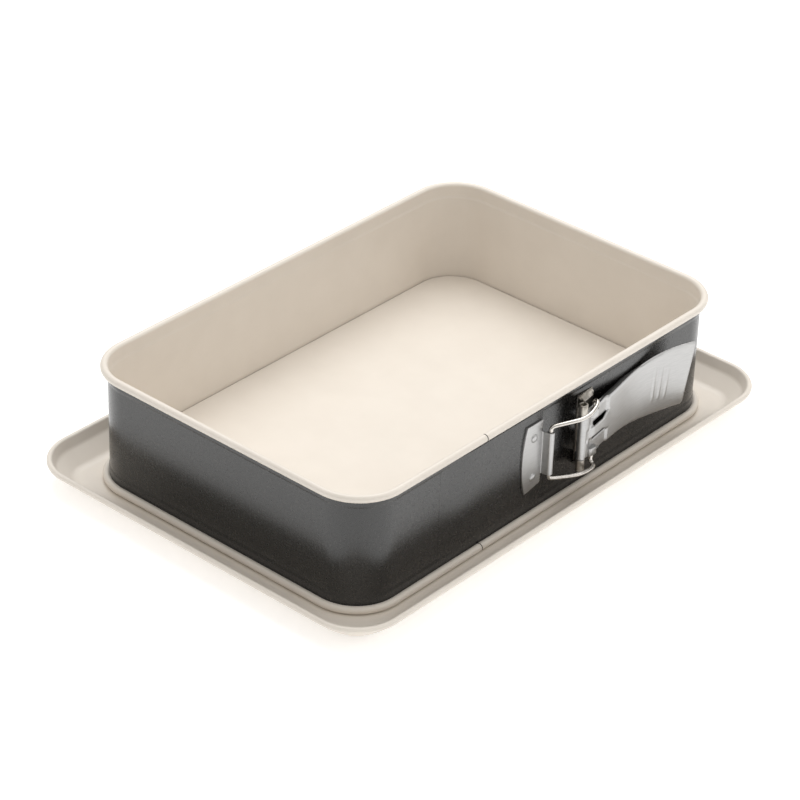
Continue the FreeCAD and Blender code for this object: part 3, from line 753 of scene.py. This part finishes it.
def make_rivet(name, node):
    """A low domed head outside and the closed end inside."""
    low, high = cad_box(node)
    middle = (low + high) / 2
    head = (high.z - low.z) / 2
    depth = high.y - low.y
    rise, shank, closed_end, soft, tiny = 0.9, 1.3, 1.9, 0.05, 0.05
    turns = [math.radians(15.0 * step) for step in range(1, 7)]
    profile = [(tiny, 0.0)]
    profile += [(head * math.sin(turn), rise * math.cos(turn) - rise) for turn in turns]
    profile += [(head - 0.15, -rise - soft), (shank, -rise - soft), (shank, -depth),
                (closed_end, -depth), (closed_end - 0.1, -depth - soft), (tiny, -depth - soft)]
    rows = lathe_rows(profile, (middle.x, low.y, middle.z), (0, -1, 0))
    return Skin().grid(rows, around=True, ends=True).piece(name, [SATIN])


def make_bracket():
    """A back plate, and a curled knuckle at each end of the hinge."""
    wall = BRACKET_HIGH.y
    sheet, corner = 0.9, 2.0
    left, right = HINGE.x + 4.2, BRACKET_HIGH.x
    low, high = 13.2, 19.6         # each knuckle's two ends, from the clasp's middle
    reach = high - corner
    outline = arc((right - corner, CLASP_Z - reach), corner, -90.0, 0.0, 6)
    outline += arc((right - corner, CLASP_Z + reach), corner, 0.0, 90.0, 6)
    outline += [(left, CLASP_Z + high), (left, CLASP_Z - high)]
    skin = Skin().grid(plate_rows(outline, wall, sheet), around=True, ends=True)
    curl = BARREL - sheet / 2
    path = [(left + 4.0, wall - sheet / 2), (left + 0.8, wall - sheet / 2),
            (left, wall - sheet), (HINGE.x + curl + 0.2, HINGE.y + 1.0)]
    path += arc((HINGE.x, HINGE.y), curl, 0.0, -325.0, 30)
    for side in (1, -1):
        ends = sorted((CLASP_Z + side * low, CLASP_Z + side * high))
        skin.grid(strip_rows(path, sheet, *ends), around=True, ends=True)
    return skin.piece("hinge_bracket_formed", [DULL])


def make_ears():
    """The bracket's upper and lower edges, folded out and drooping towards their far ends."""
    wall = BRACKET_HIGH.y - 0.1
    start, end = HINGE.x + 2.8, HINGE.x + 15.5
    sheet, root = 0.8, 20.0        # root is the fold's height from the clasp's middle
    along_steps, out_steps = 12, 8
    skin = Skin()
    for side in (1, -1):
        rows = []
        for step in range(along_steps + 1):
            along = step / along_steps
            row = []
            for part in range(out_steps + 1):
                out = part / out_steps
                depth = between(5.0, 1.3, along) * out
                droop = between(1.4, 4.4, along) * smooth(out) - 0.5 * math.sin(math.pi * out)
                row.append((between(start, end, along), wall - depth,
                            CLASP_Z + side * (root - droop)))
            rows.append(row if side > 0 else row[::-1])
        skin.grid(rows)
    return thicken(skin.piece("hinge_bracket_ears", [DULL]), sheet)


def make_bail():
    """One wire: a crossbar in the eye, arms bowed out past the hinge, two hooked ends."""
    wire = 1.1                     # radius
    # The upper half: offsets in x and y from the socket, and from the eye for the crossbar,
    # with heights above the clasp's middle.
    hook = ((0.0, 0.0, 11.9), (0.0, 0.0, 13.4), (-0.5, 0.0, 15.0), (-1.1, -0.1, 16.9),
            (-1.1, -0.8, 18.3), (-1.3, -1.9, 19.0), (-2.4, -3.1, 18.9))
    arm = ((-4.5, -4.3, 18.5), (-7.5, -5.2, 17.9), (-12.0, -5.7, 17.0), (-17.6, -4.9, 16.5),
           (-24.0, -1.8, 16.1))
    crossbar = ((2.0, -0.9, 15.5), (0.3, -0.1, 14.6), (0.0, 0.0, 12.8), (0.0, 0.0, 6.0))
    half = [(SOCKET.x + x, SOCKET.y + y, rise) for x, y, rise in hook + arm]
    half += [(EYE.x + x, EYE.y + y, rise) for x, y, rise in crossbar]
    points = [(x, y, CLASP_Z + rise) for x, y, rise in half]
    points += [(x, y, CLASP_Z - rise) for x, y, rise in reversed(half)]
    rows = tube_rows(spline(points, 8), wire)
    return Skin().grid(rows, around=True, ends=True).piece("bail_wire", [BRIGHT])


# ---------------------------------------------------------------- scene

def aim(thing, target, roll=0.0):
    """Point a camera or a light's -Z at the target, rolled about its line of sight."""
    ahead = (Vector(target) - thing.location).normalized()
    right = ahead.cross(Vector((0, 0, 1))).normalized()
    up = right.cross(ahead)
    turn = math.radians(roll)
    lean_right = right * math.cos(turn) + up * math.sin(turn)
    lean_up = up * math.cos(turn) - right * math.sin(turn)
    thing.rotation_euler = Matrix((lean_right, lean_up, -ahead)).transposed().to_euler()


def seen_from(azimuth, elevation, distance, target):
    """A place round the target; azimuth 0 is on the clasp side, and angles are degrees."""
    a, e = math.radians(azimuth), math.radians(elevation)
    return Vector(target) + distance * Vector((math.sin(a) * math.cos(e),
                                               -math.cos(a) * math.cos(e), math.sin(e)))


def make_camera():
    data = bpy.data.cameras.new("camera")
    data.lens = 138.1
    camera = bpy.data.objects.new("camera", data)
    bpy.context.scene.collection.objects.link(camera)
    azimuth, elevation, distance = -49.54, 31.91, 1.588
    target = (-0.0144, -0.0062, 0.03365)
    camera.location = seen_from(azimuth, elevation, distance, target)
    aim(camera, target, roll=2.0)
    bpy.context.scene.camera = camera


def make_light(name, azimuth, elevation, distance, width, height, power):
    """A soft box that faces the middle of the pan."""
    target = (0, 0, 0.03)
    data = bpy.data.lights.new(name, "AREA")
    data.shape = "RECTANGLE"
    data.size = width
    data.size_y = height
    data.energy = power
    light = bpy.data.objects.new(name, data)
    bpy.context.scene.collection.objects.link(light)
    light.location = seen_from(azimuth, elevation, distance, target)
    aim(light, target)


def make_sky():
    """A world that brightens from the horizon up."""
    horizon, zenith = (0.50, 0.495, 0.485, 1.0), (1.0, 0.99, 0.97, 1.0)
    world = bpy.data.worlds.new("studio")
    world.use_nodes = True
    nodes, links = world.node_tree.nodes, world.node_tree.links
    sky = nodes["Background"]
    direction = nodes.new("ShaderNodeTexCoord")
    split = nodes.new("ShaderNodeSeparateXYZ")
    fade = nodes.new("ShaderNodeValToRGB")
    fade.color_ramp.elements[0].color = horizon
    fade.color_ramp.elements[1].color = zenith
    links.new(direction.outputs["Generated"], split.inputs["Vector"])
    links.new(split.outputs["Z"], fade.inputs["Fac"])
    links.new(fade.outputs["Color"], sky.inputs["Color"])
    sky.inputs["Strength"].default_value = 0.83
    bpy.context.scene.world = world


def make_floor():
    """White paper, just under the pan."""
    reach, drop = 3000.0, -0.2
    sheet = Skin().grid([[(-reach, -reach, drop), (reach, -reach, drop)],
                         [(-reach, reach, drop), (reach, reach, drop)]])
    paper = Nodes("paper")
    paper.link(paper.ramp(paper.noise(8.0), [(0.4, 0.93), (0.6, 0.95)]),
               paper.shader.inputs["Base Color"])
    paper.set(Roughness=0.9, Emission_Color=(1.0, 1.0, 1.0, 1.0), Emission_Strength=0.35)
    sheet.piece("floor", [paper.material])


def make_studio():
    make_sky()
    make_light("key", 130.0, 66.0, 1.4, width=1.2, height=1.2, power=13.0)
    make_light("fill", 20.0, 35.0, 1.6, width=1.2, height=0.8, power=2.5)
    make_floor()
    bpy.context.scene.view_settings.view_transform = "Standard"


def ride(piece, body, node):
    """The piece moves with the body and stands for the CAD node, which is hidden."""
    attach(piece, body)
    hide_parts(node)


make_camera()
make_studio()

ride(make_tray(), "base", "base_tray")

lever_side = make_ring_side("ring_band_lever_side", lever_side_stations())
ride(lever_side, "lever_arm", "ring_lever_side")

# The catch side runs from the meeting on the back wall, past the back corner and round the -X
# end to the seam; its transform is baked in place and it is attached to no body.
catch_side = make_ring_side("ring_band_catch_side", catch_side_stations(), flap_rows())
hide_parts("ring_catch_side")
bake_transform(catch_side)

ride(make_lever(), "lever", "lever")
ride(make_barrel(), "lever", "lever")
ride(make_catch_plate(), "catch_arm", "catch_plate")
ride(make_bracket(), "lever_arm", "hinge_bracket")
ride(make_ears(), "lever_arm", "hinge_bracket")
ride(make_bail(), "bail", "bail")
for place in ("upper", "lower"):
    for side, body in (("catch", "catch_arm"), ("bracket", "lever_arm")):
        node = "%s_rivet_%s" % (side, place)
        ride(make_rivet(node + "_head", node), body, node)

pin = frame["nodes"]["hinge_pin"].data.materials
pin.clear()
pin.append(BRIGHT)
